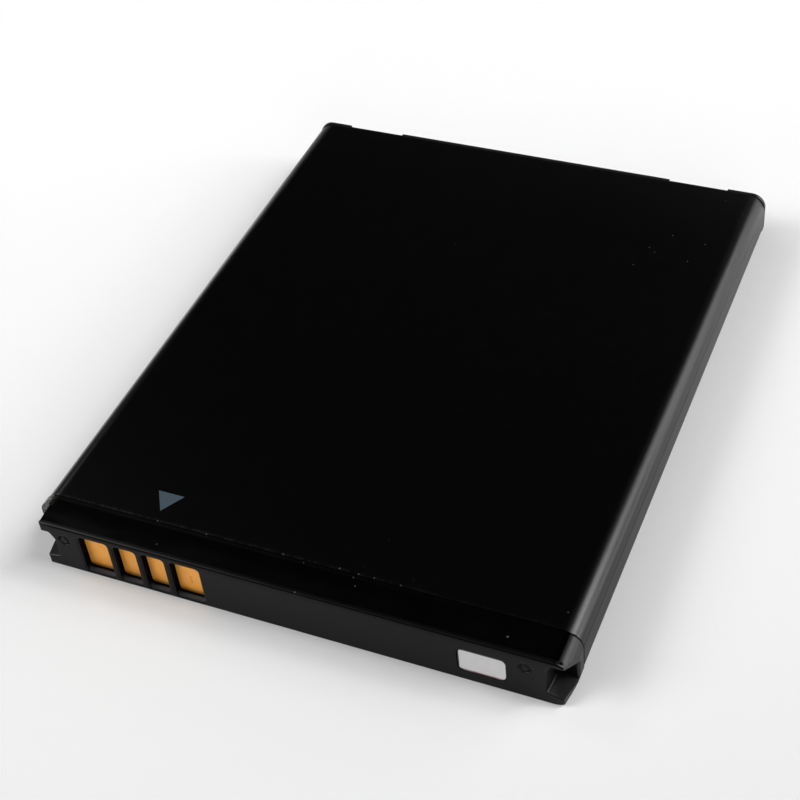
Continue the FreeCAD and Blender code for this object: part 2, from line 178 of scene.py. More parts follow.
class CapSettings(bpy.types.PropertyGroup):
    """Moulded caps at both ends."""

    colour: bpy.props.FloatVectorProperty(
        name="Plastic colour", description="Colour of the moulded caps", subtype="COLOR", size=3,
        min=0.0, max=1.0, default=(0.0055, 0.0056, 0.006))
    # Used for the rubbed notch wall on the left and for the lip, where it is also a painted highlight
    rubbed_and_glint_colour: bpy.props.FloatVectorProperty(
        name="Rubbed colour", description="Colour of the plastic where edges are rubbed", subtype="COLOR", size=3,
        min=0.0, max=1.0, default=(0.03, 0.03, 0.03))
    strip_colour: bpy.props.FloatVectorProperty(
        name="Strip colour", description="Colour of the dished strip on top of the contact cap", subtype="COLOR",
        size=3, min=0.0, max=1.0, default=(0.0004, 0.0004, 0.0004))
    edge_round: bpy.props.FloatProperty(
        name="Edge softness", description="Radius that the moulded edges seem to have",
        default=0.05 * MM, unit="LENGTH", precision=6)
    mark_from_side: bpy.props.FloatProperty(
        name="Mark from side", description="Distance of a moulding pin's mark from the side", default=3.75 * MM,
        unit="LENGTH", precision=5)
    mark_height: bpy.props.FloatProperty(
        name="Mark height", description="Height of the marks above the table", default=3.78 * MM, unit="LENGTH",
        precision=5)


class ContactSettings(bpy.types.PropertyGroup):
    """Plated contacts behind the windows."""

    colour: bpy.props.FloatVectorProperty(
        name="Plating colour", description="Colour of the gold plating", subtype="COLOR", size=3,
        min=0.0, max=1.0, default=(1.0, 0.43, 0.06))
    corner: bpy.props.FloatProperty(
        name="Corner radius", description="Corner radius of a contact", default=0.3 * MM, unit="LENGTH", precision=5)
    edge_round: bpy.props.FloatProperty(
        name="Edge round", description="Softened edge of a contact", default=0.03 * MM, unit="LENGTH", precision=6)


class StickerSettings(bpy.types.PropertyGroup):
    """Moisture indicator on the front face."""

    colour: bpy.props.FloatVectorProperty(
        name="Paper colour", description="Colour of the indicator paper", subtype="COLOR", size=3,
        min=0.0, max=1.0, default=(0.6, 0.588, 0.592))
    dye_colour: bpy.props.FloatVectorProperty(
        name="Dye colour", description="Colour of the dye that shows at the paper's rim", subtype="COLOR", size=3,
        min=0.0, max=1.0, default=(0.09, 0.012, 0.018))


class ArrowSettings(bpy.types.PropertyGroup):
    """Plain printed triangle that points to the contacts."""

    x: bpy.props.FloatProperty(
        name="Place across", description="Tip of the triangle across the pack", default=-13.85 * MM, unit="LENGTH",
        precision=5)
    from_front: bpy.props.FloatProperty(
        name="Tip from front", description="Distance of the tip from the front face", default=4.62 * MM, unit="LENGTH",
        precision=5)
    width: bpy.props.FloatProperty(
        name="Width", description="Length of the far side", default=2.57 * MM, unit="LENGTH", precision=5)
    length: bpy.props.FloatProperty(
        name="Length", description="Distance from the tip to the far side", default=2.12 * MM, unit="LENGTH",
        precision=5)
    ink: bpy.props.FloatProperty(
        name="Ink thickness", description="Height of the ink on the film", default=0.008 * MM, unit="LENGTH",
        precision=6)
    colour: bpy.props.FloatVectorProperty(
        name="Ink colour", description="Colour of the printed triangle", subtype="COLOR", size=3,
        min=0.0, max=1.0, default=(0.052, 0.078, 0.097))


class StageSettings(bpy.types.PropertyGroup):
    """Floor, lamps and camera."""

    # The near and far colours make the table's painted light falloff
    near_colour: bpy.props.FloatVectorProperty(
        name="Near colour", description="Colour of the table on the contacts' side", subtype="COLOR", size=3,
        min=0.0, max=1.0, default=(0.82, 0.82, 0.82))
    far_colour: bpy.props.FloatVectorProperty(
        name="Far colour", description="Colour of the table behind the pack", subtype="COLOR", size=3,
        min=0.0, max=1.0, default=(1.0, 1.0, 1.0))
    floor_side: bpy.props.FloatProperty(
        name="Floor side", description="Length of the table's side", default=30.0, unit="LENGTH")
    wall_strength: bpy.props.FloatProperty(
        name="Wall strength", description="Brightness of the pale surroundings just above the table", default=0.15)
    target: bpy.props.FloatVectorProperty(
        name="Camera target", description="Point of the table that the camera turns about", subtype="TRANSLATION",
        size=3, default=(-1.764 * MM, -2.706 * MM, 0.0))
    distance: bpy.props.FloatProperty(
        name="Camera distance", description="Distance of the camera from its target", default=159.5 * MM, unit="LENGTH",
        precision=5)
    azimuth: bpy.props.FloatProperty(
        name="Camera azimuth", description="Turn of the camera round the pack, from the front", subtype="ANGLE",
        default=math.radians(27.314))
    elevation: bpy.props.FloatProperty(
        name="Camera elevation", description="Height angle of the camera", subtype="ANGLE",
        default=math.radians(43.498))
    roll: bpy.props.FloatProperty(
        name="Camera roll", description="Turn of the camera about its own line of sight", subtype="ANGLE",
        default=math.radians(6.787))
    lens: bpy.props.FloatProperty(
        name="Focal length", description="Lens of the camera in millimetres", default=74.8)


# Node trees and finishes


class Graph:
    """Short calls that all node trees of this script share."""

    def __init__(self, tree):
        self.tree = tree
        self.tree.nodes.clear()

    def add(self, kind):
        return self.tree.nodes.new(kind)

    def join(self, source, target):
        self.tree.links.new(source, target)

    def feed(self, value, target):
        """Links a socket or sets a plain value."""
        if isinstance(value, bpy.types.NodeSocket):
            self.join(value, target)
        else:
            target.default_value = value

    def node(self, kind, mode=None, **inputs):
        """Adds a node, sets its mode and feeds its inputs, with underscores for the spaces in their names."""
        node = self.add(kind)
        if mode is not None:
            node.mode = mode
        for name, value in inputs.items():
            self.feed(value, node.inputs[name.replace("_", " ")])
        return node

    def math(self, operation, *values):
        """One operation on a single value, or on two or more from left to right."""
        result, *rest = values
        for value in rest or [0.0]:
            node = self.add("ShaderNodeMath")
            node.operation = operation
            self.feed(result, node.inputs[0])
            self.feed(value, node.inputs[1])
            result = node.outputs[0]
        return result

    def ramp(self, value, low, high, to_low=0.0, to_high=1.0):
        """Smooth change from to_low to to_high while value goes from low to high."""
        node = self.node("ShaderNodeMapRange", Value=value, From_Min=low, From_Max=high, To_Min=to_low, To_Max=to_high)
        node.interpolation_type = "SMOOTHSTEP"
        return node.outputs["Result"]

    def split(self, vector):
        """The three numbers of a vector."""
        node = self.add("ShaderNodeSeparateXYZ")
        self.join(vector, node.inputs[0])
        return node.outputs


class Shader(Graph):
    """A material's node tree with short calls for the nodes that this pack's finishes use."""

    def __init__(self, name):
        self.material = bpy.data.materials.new(name)
        self.material.use_nodes = True
        super().__init__(self.material.node_tree)
        self.surface = self.add("ShaderNodeBsdfPrincipled")
        self.join(self.surface.outputs["BSDF"], self.add("ShaderNodeOutputMaterial").inputs["Surface"])
        self.place = self.add("ShaderNodeTexCoord").outputs["Object"]

    def set(self, **values):
        """Sets or links the surface's own sockets, with underscores for spaces."""
        for name, value in values.items():
            self.feed(value, self.surface.inputs[name.replace("_", " ")])

    def axes(self):
        """The place on the object, as three numbers."""
        return self.split(self.place)

    def facing(self):
        """The surface's own direction, as three numbers."""
        return self.split(self.add("ShaderNodeNewGeometry").outputs["Normal"])

    def stretched(self, x=1.0, y=1.0, z=1.0):
        """The place on the object, with patterns drawn out where a number is below 1."""
        return self.node("ShaderNodeMapping", Vector=self.place, Scale=(x, y, z)).outputs["Vector"]

    def noise(self, size, detail=2.0, vector=None):
        """Noise whose features are about this size, in metres."""
        node = self.node("ShaderNodeTexNoise", Vector=vector or self.place, Scale=1.0 / size, Detail=detail)
        return node.outputs["Fac"]

    def specks(self, spacing, radius, share):
        """Mask of round specks on a random net. Only this share of the net's cells has one."""
        node = self.node("ShaderNodeTexVoronoi", Vector=self.place, Scale=1.0 / spacing)
        draws = self.node("ShaderNodeSeparateColor", Color=node.outputs["Color"]).outputs
        past = self.math("SUBTRACT", node.outputs["Distance"], self.both(draws[1], radius / spacing))
        return self.both(self.ramp(past, 0.0, 0.3 * radius / spacing, 1.0, 0.0),
                         self.math("LESS_THAN", draws[0], share))

    def blend(self, factor, first, second):
        """Goes from the first colour to the second with the factor."""
        node = self.add("ShaderNodeMix")
        node.data_type = "RGBA"
        self.feed(factor, node.inputs["Factor"])
        for value, socket in ((first, node.inputs[6]), (second, node.inputs[7])):
            self.feed(value if isinstance(value, bpy.types.NodeSocket) else (*value, 1.0), socket)
        return node.outputs[2]

    def mottled(self, cloud, colour, share, low=0.3, high=0.7):
        """A colour that drifts to this share of itself where the cloud is dense."""
        return self.blend(self.ramp(cloud, low, high), colour, tuple(share * c for c in colour))

    def bump(self, height, distance, under=None):
        """Relief of at most this distance, laid over another one."""
        node = self.node("ShaderNodeBump", Height=height, Distance=distance)
        if under is not None:
            self.join(under, node.inputs["Normal"])
        return node.outputs["Normal"]

    def soft_edges(self, radius):
        """Directions of the surface as if its edges were rounded."""
        node = self.node("ShaderNodeBevel", Radius=radius)
        node.samples = 6
        return node.outputs["Normal"]

    def between(self, value, low, high, soft):
        """Mask that is full from low to high and fades over this distance outside them."""
        return self.both(self.ramp(value, low - soft, low), self.ramp(value, high, high + soft, 1.0, 0.0))

    def both(self, *masks):
        """Mask that is full only where all of these are."""
        return self.math("MULTIPLY", *masks)

    def either(self, *masks):
        """Mask that is full wherever one of these is."""
        return self.math("MAXIMUM", *masks)

    def near(self, x, y, z, radius):
        """Mask of a round spot at one point."""
        node = self.add("ShaderNodeVectorMath")
        node.operation = "DISTANCE"
        self.join(self.place, node.inputs[0])
        node.inputs[1].default_value = (x, y, z)
        return self.ramp(node.outputs["Value"], 0.6 * radius, radius, 1.0, 0.0)

    def spots(self, places):
        """Mask of single specks, each (x, depth, z, radius) in millimetres from the middle of the front."""
        return self.either(*(
            self.near(x * MM, FRONT + depth * MM, z * MM, radius * MM) for x, depth, z, radius in places))


def shade(thing, material):
    """Puts one material on a CAD node's object or on a new piece."""
    if not thing.material_slots:
        thing.data.materials.append(material)
    for slot in thing.material_slots:
        slot.link = "OBJECT"
        slot.material = material


def finish_label(settings):
    """Black printed film: matt on top, satin where it is drawn round the sides, frayed and dusty at its front edge,
    with a painted glint there.
    """
    paint = Shader("black label film")
    x, y, z = paint.axes()
    tilt_x, tilt_y, _ = paint.facing()
    cut = label_low.y
    side = paint.ramp(paint.math("ABSOLUTE", x), RIGHT - 1.9 * MM, RIGHT - 0.9 * MM)
    mottle = paint.noise(1.4 * MM, 4.0)
    grain = paint.noise(0.09 * MM)
    streaks = paint.noise(0.16 * MM, 3.0, paint.stretched(y=0.02))

    # The frayed cut edge is lighter, and partly a painted highlight: it fades from left to right like the glint of the
    # lamps on the left
    frayed = paint.ramp(paint.noise(0.3 * MM, 5.0, paint.stretched(y=0.6, z=0.6)), 0.36, 0.7)
    edge = paint.both(paint.between(y, cut + 0.09 * MM, cut + 0.14 * MM, 0.22 * MM), frayed,
                      paint.ramp(x, LEFT, RIGHT, 1.0, 0.15))
    crowd = paint.ramp(y, cut + 1 * MM, cut + 9 * MM, 0.34, 0.14)
    dust = paint.both(paint.specks(0.9 * MM, 0.045 * MM, crowd), paint.ramp(z, TOP - 0.4 * MM, TOP - 0.1 * MM),
                      paint.ramp(mottle, 0.35, 0.6), 0.35)
    colour = paint.mottled(mottle, settings.colour, 1.2)
    colour = paint.blend(edge, colour, settings.cut_edge_and_glint_colour)
    colour = paint.blend(dust, colour, settings.dust_colour)
    colour = paint.blend(paint.spots(LABEL_DUST), colour, settings.dust_colour)

    matt = paint.ramp(mottle, 0.3, 0.7, 0.3, 0.315)
    far_left = paint.both(paint.ramp(tilt_x, -0.3, -0.05, 1.0, 0.0), paint.ramp(y, 0.0, label_high.y))
    satin = paint.math("ADD", paint.ramp(streaks, 0.3, 0.7, 0.27, 0.33), paint.ramp(tilt_x, *FACES_RIGHT, 0.0, 0.1),
                       paint.ramp(tilt_x, -0.7, -0.4, -0.09, 0.0), paint.both(far_left, 0.15))
    seam = paint.both(paint.ramp(y, cut + 0.05 * MM, cut + 0.08 * MM, 1.0, 0.0), paint.ramp(tilt_x, 0.35, 0.6))
    roughness = paint.math("ADD", matt, paint.both(side, paint.math("SUBTRACT", satin, matt)))
    roughness = paint.either(roughness, seam)
    relief = paint.bump(streaks, 0.0014 * MM, under=paint.bump(grain, 0.0012 * MM))

    # A black metallic share only takes gloss away
    dull = paint.math("ADD", paint.ramp(y, cut, 20 * MM, 0.55, 0.1),
                      paint.both(paint.ramp(y, 5 * MM, label_high.y, 0.0, 0.5), paint.ramp(x, -8 * MM, RIGHT - 2 * MM)))
    dull = paint.both(dull, paint.math("SUBTRACT", 1.0, side))
    dull = paint.either(dull, paint.ramp(tilt_y, -0.7, -0.15, 0.85, 0.0), paint.ramp(tilt_x, *FACES_RIGHT, 0.0, 0.95),
                        seam, far_left)
    paint.set(Base_Color=colour, Metallic=dull, Roughness=roughness, Normal=relief, IOR=1.5)
    return paint.material


def finish_cap(settings):
    """Black moulded plastic: spark texture, a dished strip with grease haze and painted sheen, a lip with painted
    highlight and rubbing, sills with painted light, dull marks and painted shade in grooves, gaps and windows.
    """
    paint = Shader("black moulded plastic")
    ramp, between, both, either = paint.ramp, paint.between, paint.both, paint.either
    x, y, z = paint.axes()
    tilt_x, tilt_y, tilt_z = paint.facing()
    depth = paint.math("SUBTRACT", y, FRONT)
    texture = paint.noise(0.07 * MM, 3.0)
    cloud = paint.noise(2.2 * MM, 3.0)
    haze = paint.noise(1.5 * MM, 4.0, paint.stretched(x=0.45))
    drawn = paint.noise(0.09 * MM, 3.0, paint.stretched(x=0.08))
    worn = ramp(drawn, 0.3, 0.65, 0.6, 1.0)
    # Painted sheen and highlight of the lamps on the left, fading towards the right
    left_lamp_sheen = ramp(x, LEFT, 8 * MM, 1.0, 0.18)

    # The dished strip on top with its haze and painted sheen, the lip before it with its painted highlight, and the
    # turned edges round both, with painted shade under the front one
    strip = both(ramp(z, TOP - 0.16 * MM, TOP - 0.12 * MM), between(depth, 0.5 * MM, 3.0 * MM, 0.2 * MM),
                 ramp(tilt_z, 0.965, 0.995))
    grease_and_sheen = both(strip, ramp(depth, 1.0 * MM, 2.6 * MM, 1.0, 0.1), ramp(haze, 0.35, 0.65, 0.3, 1.0), left_lamp_sheen)
    # The lip is a painted highlight with some rubbing; it takes the rubbed colour
    lip = both(between(depth, 0.08 * MM, 0.22 * MM, 0.06 * MM), ramp(z, TOP - 0.14 * MM, TOP - 0.08 * MM),
               ramp(drawn, 0.25, 0.6, 0.45, 1.0), left_lamp_sheen)
    # Painted shade along the rounded top front edge
    brow_shade = both(ramp(tilt_y, -0.5, -0.3, 1.0, 0.0), ramp(z, TOP - 0.7 * MM, TOP - 0.35 * MM),
                ramp(x, LEFT + 1.0 * MM, LEFT + 3.0 * MM, 0.3, 0.92))
    upper = ramp(z, TOP - 0.3 * MM, TOP - 0.2 * MM)
    behind = both(between(depth, 3.1 * MM, 4.0 * MM, 0.1 * MM), ramp(tilt_z, 0.97, 0.99), upper,
                  ramp(x, LEFT, RIGHT - 4 * MM, 0.75, 1.0))
    calm = both(between(depth, 0.0, 0.6 * MM, 0.05 * MM), ramp(tilt_z, 0.6, 0.8), upper,
                ramp(x, -22 * MM, 4 * MM, 0.05, 0.8), ramp(x, RIGHT - 1.4 * MM, RIGHT - 0.9 * MM, 1.0, 0.0))
    # Painted shade in the seam gap between the cap and the label on the right
    seam = both(between(depth, 3.32 * MM, 4.0 * MM, 0.06 * MM), ramp(x, RIGHT - 1.6 * MM, RIGHT - 1.2 * MM))

    # The windows: painted shade on their walls and on the face to the left of each contact, painted light on the sills
    # and on the front of the left walls
    first, last = LEFT + 5.0 * MM, LEFT + 17.6 * MM
    row = between(x, first, last, 0.02 * MM)
    window = both(row, between(z, 0.4 * MM, 4.8 * MM, 0.02 * MM), between(depth, 0.06 * MM, 1.0 * MM, 0.05 * MM),
                  ramp(tilt_y, -0.8, -0.6))
    # Painted light on each sill, with drawn streaks; it fades out towards the contact, which leaves painted shade there
    lit_sill = both(between(x, first + 0.1 * MM, last - 0.3 * MM, 0.05 * MM), ramp(z, 1.0 * MM, 1.1 * MM, 1.0, 0.0),
                ramp(tilt_z, 0.6, 0.9), between(depth, 0.2 * MM, 0.5 * MM, 0.14 * MM))
    ledge = both(row, ramp(z, 0.9 * MM, 1.0 * MM, 1.0, 0.0), ramp(tilt_z, 0.3, 0.6),
                 ramp(depth, 0.9 * MM, 1.0 * MM, 1.0, 0.0))
    shut = paint.math("ADD", ramp(depth, 0.02 * MM, 0.22 * MM, 0.9, 0.0), ramp(depth, 0.46 * MM, 0.6 * MM))
    lit_cheek = both(window, ramp(tilt_x, 0.5, 0.8), ramp(depth, 0.15 * MM, 0.6 * MM, 1.0, 0.0))
    starts = [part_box(name)[0].x - 0.05 * MM for name in CONTACTS]
    verge_shade = paint.math("ADD", *(between(x, start - 0.16 * MM, start, 0.16 * MM) for start in starts))
    verge_shade = both(verge_shade, ramp(tilt_y, -0.9, -0.7, 0.9, 0.0), between(z, 0.6 * MM, 4.6 * MM, 0.15 * MM))

    # Rings that the moulding pins left on the front face, with painted shade in their grooves
    across = paint.math("SUBTRACT", paint.math("ABSOLUTE", x), RIGHT - settings.mark_from_side)
    above = paint.math("SUBTRACT", z, settings.mark_height)
    reach = paint.math("SQRT", paint.math("ADD", paint.math("POWER", across, 2.0), paint.math("POWER", above, 2.0)))
    in_front = ramp(depth, 0.1 * MM, 0.3 * MM, 1.0, 0.0)
    ring_groove_shade = both(between(reach, 0.34 * MM, 0.46 * MM, 0.3 * MM), in_front)

    # Corners: the rubbed bulge and notch wall on the left, the tip with painted shade in its gap and the notch on the
    # right
    bulge = both(ramp(x, LEFT + 0.9 * MM, LEFT + 1.7 * MM, 1.0, 0.0), between(depth, 2.3 * MM, 3.5 * MM, 0.1 * MM),
                 ramp(z, 2.6 * MM, 3.8 * MM), ramp(paint.noise(0.2 * MM, 4.0), 0.42, 0.6, 0.1, 1.0))
    wall = both(between(x, LEFT, LEFT + 3.3 * MM, 0.1 * MM), between(depth, 0.0, 2.2 * MM, 0.1 * MM),
                ramp(tilt_x, -0.9, -0.5, 1.0, 0.0), worn, 0.5)
    # Painted shade in the small gap at the right tip
    tip = paint.near(RIGHT - 0.8 * MM, FRONT + 0.42 * MM, TOP - 0.1 * MM, 0.22 * MM)
    notch = both(ramp(x, RIGHT - 2.2 * MM, RIGHT - 2.1 * MM), ramp(z, 3.9 * MM, 4.0 * MM, 1.0, 0.0),
                 between(depth, 0.05 * MM, 2.6 * MM, 0.02 * MM))
    round_side = ramp(paint.math("ABSOLUTE", x), RIGHT - 1.7 * MM, RIGHT - 1.2 * MM)

    lint = either(paint.spots(CAP_DUST), both(paint.specks(0.45 * MM, 0.035 * MM, 0.06), 0.06))
    colour = paint.mottled(cloud, settings.colour, 1.1)
    layers = (
        (strip, settings.strip_colour),
        (grease_and_sheen, tuple(30.0 * c for c in settings.strip_colour)),
        (either(lip, wall), settings.rubbed_and_glint_colour),
        (either(both(ring_groove_shade, 0.4), tip), GROOVE_SHADE_TINT),
        (either(brow_shade, seam), EDGE_SHADE_TINT),
        (both(window, paint.math("SUBTRACT", 1.0, lit_sill)), WINDOW_SHADE_TINT),
        (lit_cheek, CHEEK_LIGHT_TINT),
        (verge_shade, VERGE_SHADE_TINT),
        (both(notch, ramp(tilt_y, -0.9, -0.7, 0.7, 0.0)), NOTCH_TINT),
        (both(lit_sill, worn), SILL_LIGHT_TINT),
        (bulge, BULGE_TINT),
        (lint, LINT_TINT),
    )
    for mask, tint in layers:
        colour = paint.blend(mask, colour, tint)

    # A black metallic share only takes gloss away
    dull = either(both(ring_groove_shade, 0.3), both(strip, 0.75), tip, ramp(tilt_y, -0.9, -0.6, 0.92, 0.0), brow_shade, behind, calm,
                  both(notch, ramp(tilt_x, 0.5, 0.8, 0.0, 0.8)), ramp(tilt_x, *FACES_RIGHT, 0.0, 0.95),
                  both(ledge, shut), seam)
    roughness = paint.math("SUBTRACT", ramp(cloud, 0.3, 0.7, 0.42, 0.45), both(strip, 0.1), both(round_side, 0.12))
    roughness = paint.math("ADD", roughness, ramp(tilt_x, *FACES_RIGHT, 0.0, 0.1))
    roughness = either(roughness, both(either(window, seam), 0.95))
    softness = either(settings.edge_round, both(ramp(reach, 0.65 * MM, 0.8 * MM, 0.2 * MM, 0.0), in_front))
    relief = paint.bump(texture, 0.0025 * MM, under=paint.soft_edges(softness))
    paint.set(Base_Color=colour, Metallic=dull, Roughness=roughness, Normal=relief, IOR=1.46)
    return paint.material


def finish_contact(settings):
    """Gold flash over nickel with light rubbing marks, the small pits of a test probe and painted shade along its foot.
    """
    paint = Shader("gold plating")
    scratches = paint.noise(0.05 * MM, 3.0, paint.stretched(z=0.06))
    cloud = paint.noise(0.9 * MM, 3.0)
    low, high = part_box(CONTACTS[-1])
    middle = low.x + 0.49 * (high.x - low.x)
    pits = paint.either(*(
        paint.near(middle + across * MM, low.y, low.z + rise * MM, radius * MM) for across, rise, radius in PITS))
    # Painted shade along the foot of each contact, where the sill shades it
    foot_shade = paint.ramp(paint.axes()[2], 0.45 * MM, 1.1 * MM, 0.85, 0.0)
    colour = paint.mottled(cloud, settings.colour, 0.93, 0.35, 0.65)
    colour = paint.blend(foot_shade, colour, FOOT_SHADE_TINT)
    colour = paint.blend(paint.both(pits, 0.8), colour, PIT_TINT)
    relief = paint.bump(pits, -0.02 * MM, under=paint.bump(scratches, 0.0012 * MM))
    paint.set(Base_Color=colour, Metallic=0.35, Roughness=paint.ramp(scratches, 0.3, 0.7, 0.28, 0.36), Normal=relief)
    return paint.material


def finish_sticker(settings):
    """White indicator paper. Its dye shows as a thin line at the rim, most at the lower edge."""
    paint = Shader("indicator paper")
    x, _, z = paint.axes()
    low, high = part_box("moisture_sticker")
    fibres = paint.noise(0.06 * MM, 4.0)
    tint = paint.noise(0.8 * MM, 3.0)
    rim = paint.both(paint.ramp(z, low.z + 0.09 * MM, low.z + 0.24 * MM, 1.0, 0.0),
                     paint.ramp(tint, 0.25, 0.6, 0.75, 1.0))
    shadow = paint.either(paint.ramp(x, low.x + 0.09 * MM, low.x + 0.12 * MM, 1.0, 0.0),
                          paint.ramp(z, high.z - 0.13 * MM, high.z - 0.04 * MM, 0.0, 0.85))
    colour = paint.mottled(tint, settings.colour, 0.95)
    colour = paint.blend(rim, colour, settings.dye_colour)
    colour = paint.blend(shadow, colour, PAPER_SHADOW_TINT)
    paint.set(Base_Color=colour, Roughness=0.62, Normal=paint.bump(fibres, 0.003 * MM), IOR=1.45)
    return paint.material


def finish_ink(settings):
    """Thin printed ink with the slight unevenness of its screen."""
    paint = Shader("printed ink")
    screen = paint.noise(0.12 * MM)
    paint.set(Base_Color=paint.mottled(screen, settings.colour, 0.85, 0.35, 0.65),
              Roughness=paint.ramp(screen, 0.3, 0.7, 0.42, 0.5), IOR=1.48)
    return paint.material


def finish_metal(name, colour, rough, stretch):
    """Rolled or drawn metal with fine marks along one direction."""
    paint = Shader(name)
    marks = paint.noise(0.1 * MM, 3.0, paint.stretched(*stretch))
    cloud = paint.noise(2.5 * MM, 3.0)
    paint.set(Base_Color=paint.mottled(cloud, colour, 0.86), Metallic=1.0,
              Roughness=paint.ramp(marks, 0.3, 0.7, rough, rough + 0.12), Normal=paint.bump(marks, 0.002 * MM))
    return paint.material


def finish_plain(name, colour, rough, grain=0.1 * MM):
    """Moulded, laminated or pressed material with a fine grain and a slight change of colour."""
    paint = Shader(name)
    fine = paint.noise(grain, 3.0)
    cloud = paint.noise(1.6 * MM, 3.0)
    paint.set(Base_Color=paint.mottled(cloud, colour, 0.85), Roughness=paint.ramp(fine, 0.3, 0.7, rough, rough + 0.1),
              Normal=paint.bump(fine, 0.002 * MM))
    return paint.material


def finish_chips():
    """Small parts with tinned ends and a fired body between them, told apart across the pack."""
    paint = Shader("tinned ceramic chips")
    x = paint.axes()[0]
    low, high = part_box("board_resistors")
    fine = paint.noise(0.05 * MM, 3.0)
    end = paint.ramp(paint.math("ABSOLUTE", paint.math("SUBTRACT", x, low.x + 0.8 * MM)), 0.48 * MM, 0.52 * MM)
    body = paint.blend(paint.ramp(fine, 0.3, 0.7), (0.36, 0.27, 0.18), (0.28, 0.2, 0.13))
    colour = paint.blend(end, body, (0.6, 0.6, 0.6))
    paint.set(Base_Color=colour, Roughness=paint.ramp(fine, 0.3, 0.7, 0.35, 0.5), Normal=paint.bump(fine, 0.002 * MM))
    return paint.material


# Geometry Nodes


class Tree(Graph):
    """A Geometry Nodes tree with named inputs."""

    def __init__(self, name):
        super().__init__(bpy.data.node_groups.new(name, "GeometryNodeTree"))
        self.tree.is_modifier = True
        self.tree.interface.new_socket("Geometry", in_out="INPUT", socket_type="NodeSocketGeometry")
        self.tree.interface.new_socket("Geometry", in_out="OUTPUT", socket_type="NodeSocketGeometry")
        self.values = {}
        self.start = None
        self.end = self.add("NodeGroupOutput")

    def size(self, name, value):
        """Adds a named length to the inputs."""
        socket = self.tree.interface.new_socket(name, in_out="INPUT", socket_type="NodeSocketFloat")
        socket.subtype = "DISTANCE"
        socket.default_value = value
        self.values[socket.identifier] = value

    def count(self, name, value):
        """Adds a named whole number to the inputs."""
        socket = self.tree.interface.new_socket(name, in_out="INPUT", socket_type="NodeSocketInt")
        socket.default_value = value
        self.values[socket.identifier] = value

    def inputs_done(self):
        """Makes the input node, once all inputs have their names."""
        self.start = self.add("NodeGroupInput")

    def given(self, name):
        return self.start.outputs[name]

    def vector(self, x=0.0, y=0.0, z=0.0):
        node = self.add("ShaderNodeCombineXYZ")
        for value, socket in zip((x, y, z), node.inputs):
            self.feed(value, socket)
        return node.outputs[0]

    def rounded(self, width, height, steps, radius):
        """Flat outline with rounded corners."""
        outline = self.node("GeometryNodeCurvePrimitiveQuadrilateral", Width=width, Height=height)
        corners = self.node("GeometryNodeFilletCurve", "POLY", Curve=outline.outputs[0], Count=steps, Radius=radius)
        return corners.outputs[0]

    def finish(self, geometry, material):
        """Sharp shading only at real edges, then Realize Instances and Set Material."""
        angle = self.add("GeometryNodeInputMeshEdgeAngle")
        limit = self.add("FunctionNodeCompare")
        limit.operation = "LESS_THAN"
        self.join(angle.outputs["Unsigned Angle"], limit.inputs[0])
        limit.inputs[1].default_value = SHARP_BEND
        faces = self.node("GeometryNodeSetShadeSmooth", Geometry=geometry)
        edges = self.node("GeometryNodeSetShadeSmooth", Geometry=faces.outputs[0], Shade_Smooth=limit.outputs[0])
        edges.domain = "EDGE"
        real = self.node("GeometryNodeRealizeInstances", Geometry=edges.outputs[0])
        painted = self.node("GeometryNodeSetMaterial", Geometry=real.outputs[0], Material=material)
        self.join(painted.outputs[0], self.end.inputs[0])

    def grow(self, source, name):
        """Runs the tree on an object and returns the result as a plain mesh piece."""
        modifier = source.modifiers.new("grow", "NODES")
        modifier.node_group = self.tree
        for identifier, value in self.values.items():
            modifier[identifier] = value
        view = bpy.context.evaluated_depsgraph_get()
        mesh = bpy.data.meshes.new_from_object(source.evaluated_get(view))
        source.modifiers.remove(modifier)
        bpy.data.objects.remove(source)
        piece = bpy.data.objects.new(name, mesh)
        bpy.context.scene.collection.objects.link(piece)
        if not mesh.polygons:
            raise RuntimeError(f"{name} came out empty")
        return piece


def outwards(mesh):
    """Turns the faces of a closed mesh so that they point outwards."""
    work = bmesh.new()
    work.from_mesh(mesh)
    bmesh.ops.remove_doubles(work, verts=work.verts, dist=SAME_POINT)
    bmesh.ops.recalc_face_normals(work, faces=work.faces)
    work.to_mesh(mesh)
    work.free()


def section_path(settings):
    """Middle line of the film round the cell, from one side of the joint on the underside to the other."""
    inset = settings.film / 2
    radius = settings.side_radius - inset
    left, right = label_low.x + inset, label_high.x - inset
    low, high = label_low.z + inset, label_high.z - inset
    joint = label_low.x + settings.joint_from_side
    steps = 20
    near_arc = 0.06 * MM
    points = [(joint + settings.joint_width, low)]
    arcs = (
        (right - radius, low + radius, -90),
        (right - radius, high - radius, 0),
        (left + radius, high - radius, 90),
        (left + radius, low + radius, 180),
    )
    for x, z, start in arcs:
        first = math.radians(start)
        last = math.radians(start + 90)
        before = Vector((x + radius * math.cos(first), z + radius * math.sin(first)))
        after = Vector((x + radius * math.cos(last), z + radius * math.sin(last)))
        points.append(tuple(before - near_arc * Vector((-math.sin(first), math.cos(first)))))
        for step in range(steps + 1):
            turn = first + (last - first) * step / steps
            points.append((x + radius * math.cos(turn), z + radius * math.sin(turn)))
        points.append(tuple(after + near_arc * Vector((-math.sin(last), math.cos(last)))))
    points.append((joint, low))
    curve = bpy.data.curves.new("film_path", "CURVE")
    curve.dimensions = "3D"
    spline = curve.splines.new("POLY")
    spline.points.add(len(points) - 1)
    for point, (x, z) in zip(spline.points, points):
        point.co = (x, 0.0, z, 1.0)
    path = bpy.data.objects.new("film_path", curve)
    bpy.context.scene.collection.objects.link(path)
    return path


